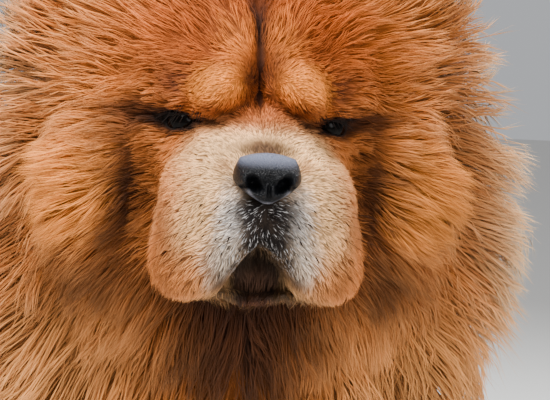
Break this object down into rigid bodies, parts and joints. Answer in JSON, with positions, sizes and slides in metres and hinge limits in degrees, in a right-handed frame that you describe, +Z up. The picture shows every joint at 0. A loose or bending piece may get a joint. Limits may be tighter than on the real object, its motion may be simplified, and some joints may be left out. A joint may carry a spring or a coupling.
{
  "type": "chow chow",
  "caption": "Life-size still model of a rough-coated red chow chow standing square, with a full ruff, broad muzzle, small thick ears and a plumed tail laid on its back.",
  "frame": {"origin": "on the floor, under the middle of the dog's length and width", "axes": "+Z up, the dog faces -Y, +X to its left"},
  "size_m": [0.3734, 0.7338, 0.706],
  "materials": {
    "coat": "long harsh red-brown outer coat",
    "ruff": "long standing mane with cream tips",
    "face": "dense red-brown fur",
    "muzzle": "short plush pale fur",
    "plume": "long pale plume hair",
    "nose": "dark pebbled leather, slightly moist",
    "eye": "wet, dark brown",
    "claw": "dark horn"
  },
  "bodies": {
    "root": {"muzzle": "muzzle", "lower_jaw": "face", "nose": "nose", "eye_l": "eye", "eye_r": "eye", "head": "face", "neck": "ruff", "forepaw_l": "coat", "forepaw_r": "coat", "hindpaw_l": "coat", "hindpaw_r": "coat", "foreleg_l": "coat", "foreleg_r": "coat", "hindleg_l": "coat", "hindleg_r": "coat", "shoulder_l": "coat", "shoulder_r": "coat", "thigh_l": "coat", "thigh_r": "coat", "chest": "ruff", "rump": "coat", "trunk": "coat", "ear_l": "face", "ear_r": "face", "tail_root": "plume", "tail_bend": "plume", "tail_end": "plume", "claw_fore_l1": "claw", "claw_fore_l2": "claw", "claw_fore_l3": "claw", "claw_fore_l4": "claw", "claw_fore_r1": "claw", "claw_fore_r2": "claw", "claw_fore_r3": "claw", "claw_fore_r4": "claw", "claw_hind_l1": "claw", "claw_hind_l2": "claw", "claw_hind_l3": "claw", "claw_hind_l4": "claw", "claw_hind_r1": "claw", "claw_hind_r2": "claw", "claw_hind_r3": "claw", "claw_hind_r4": "claw"}
  },
  "joints": []
}
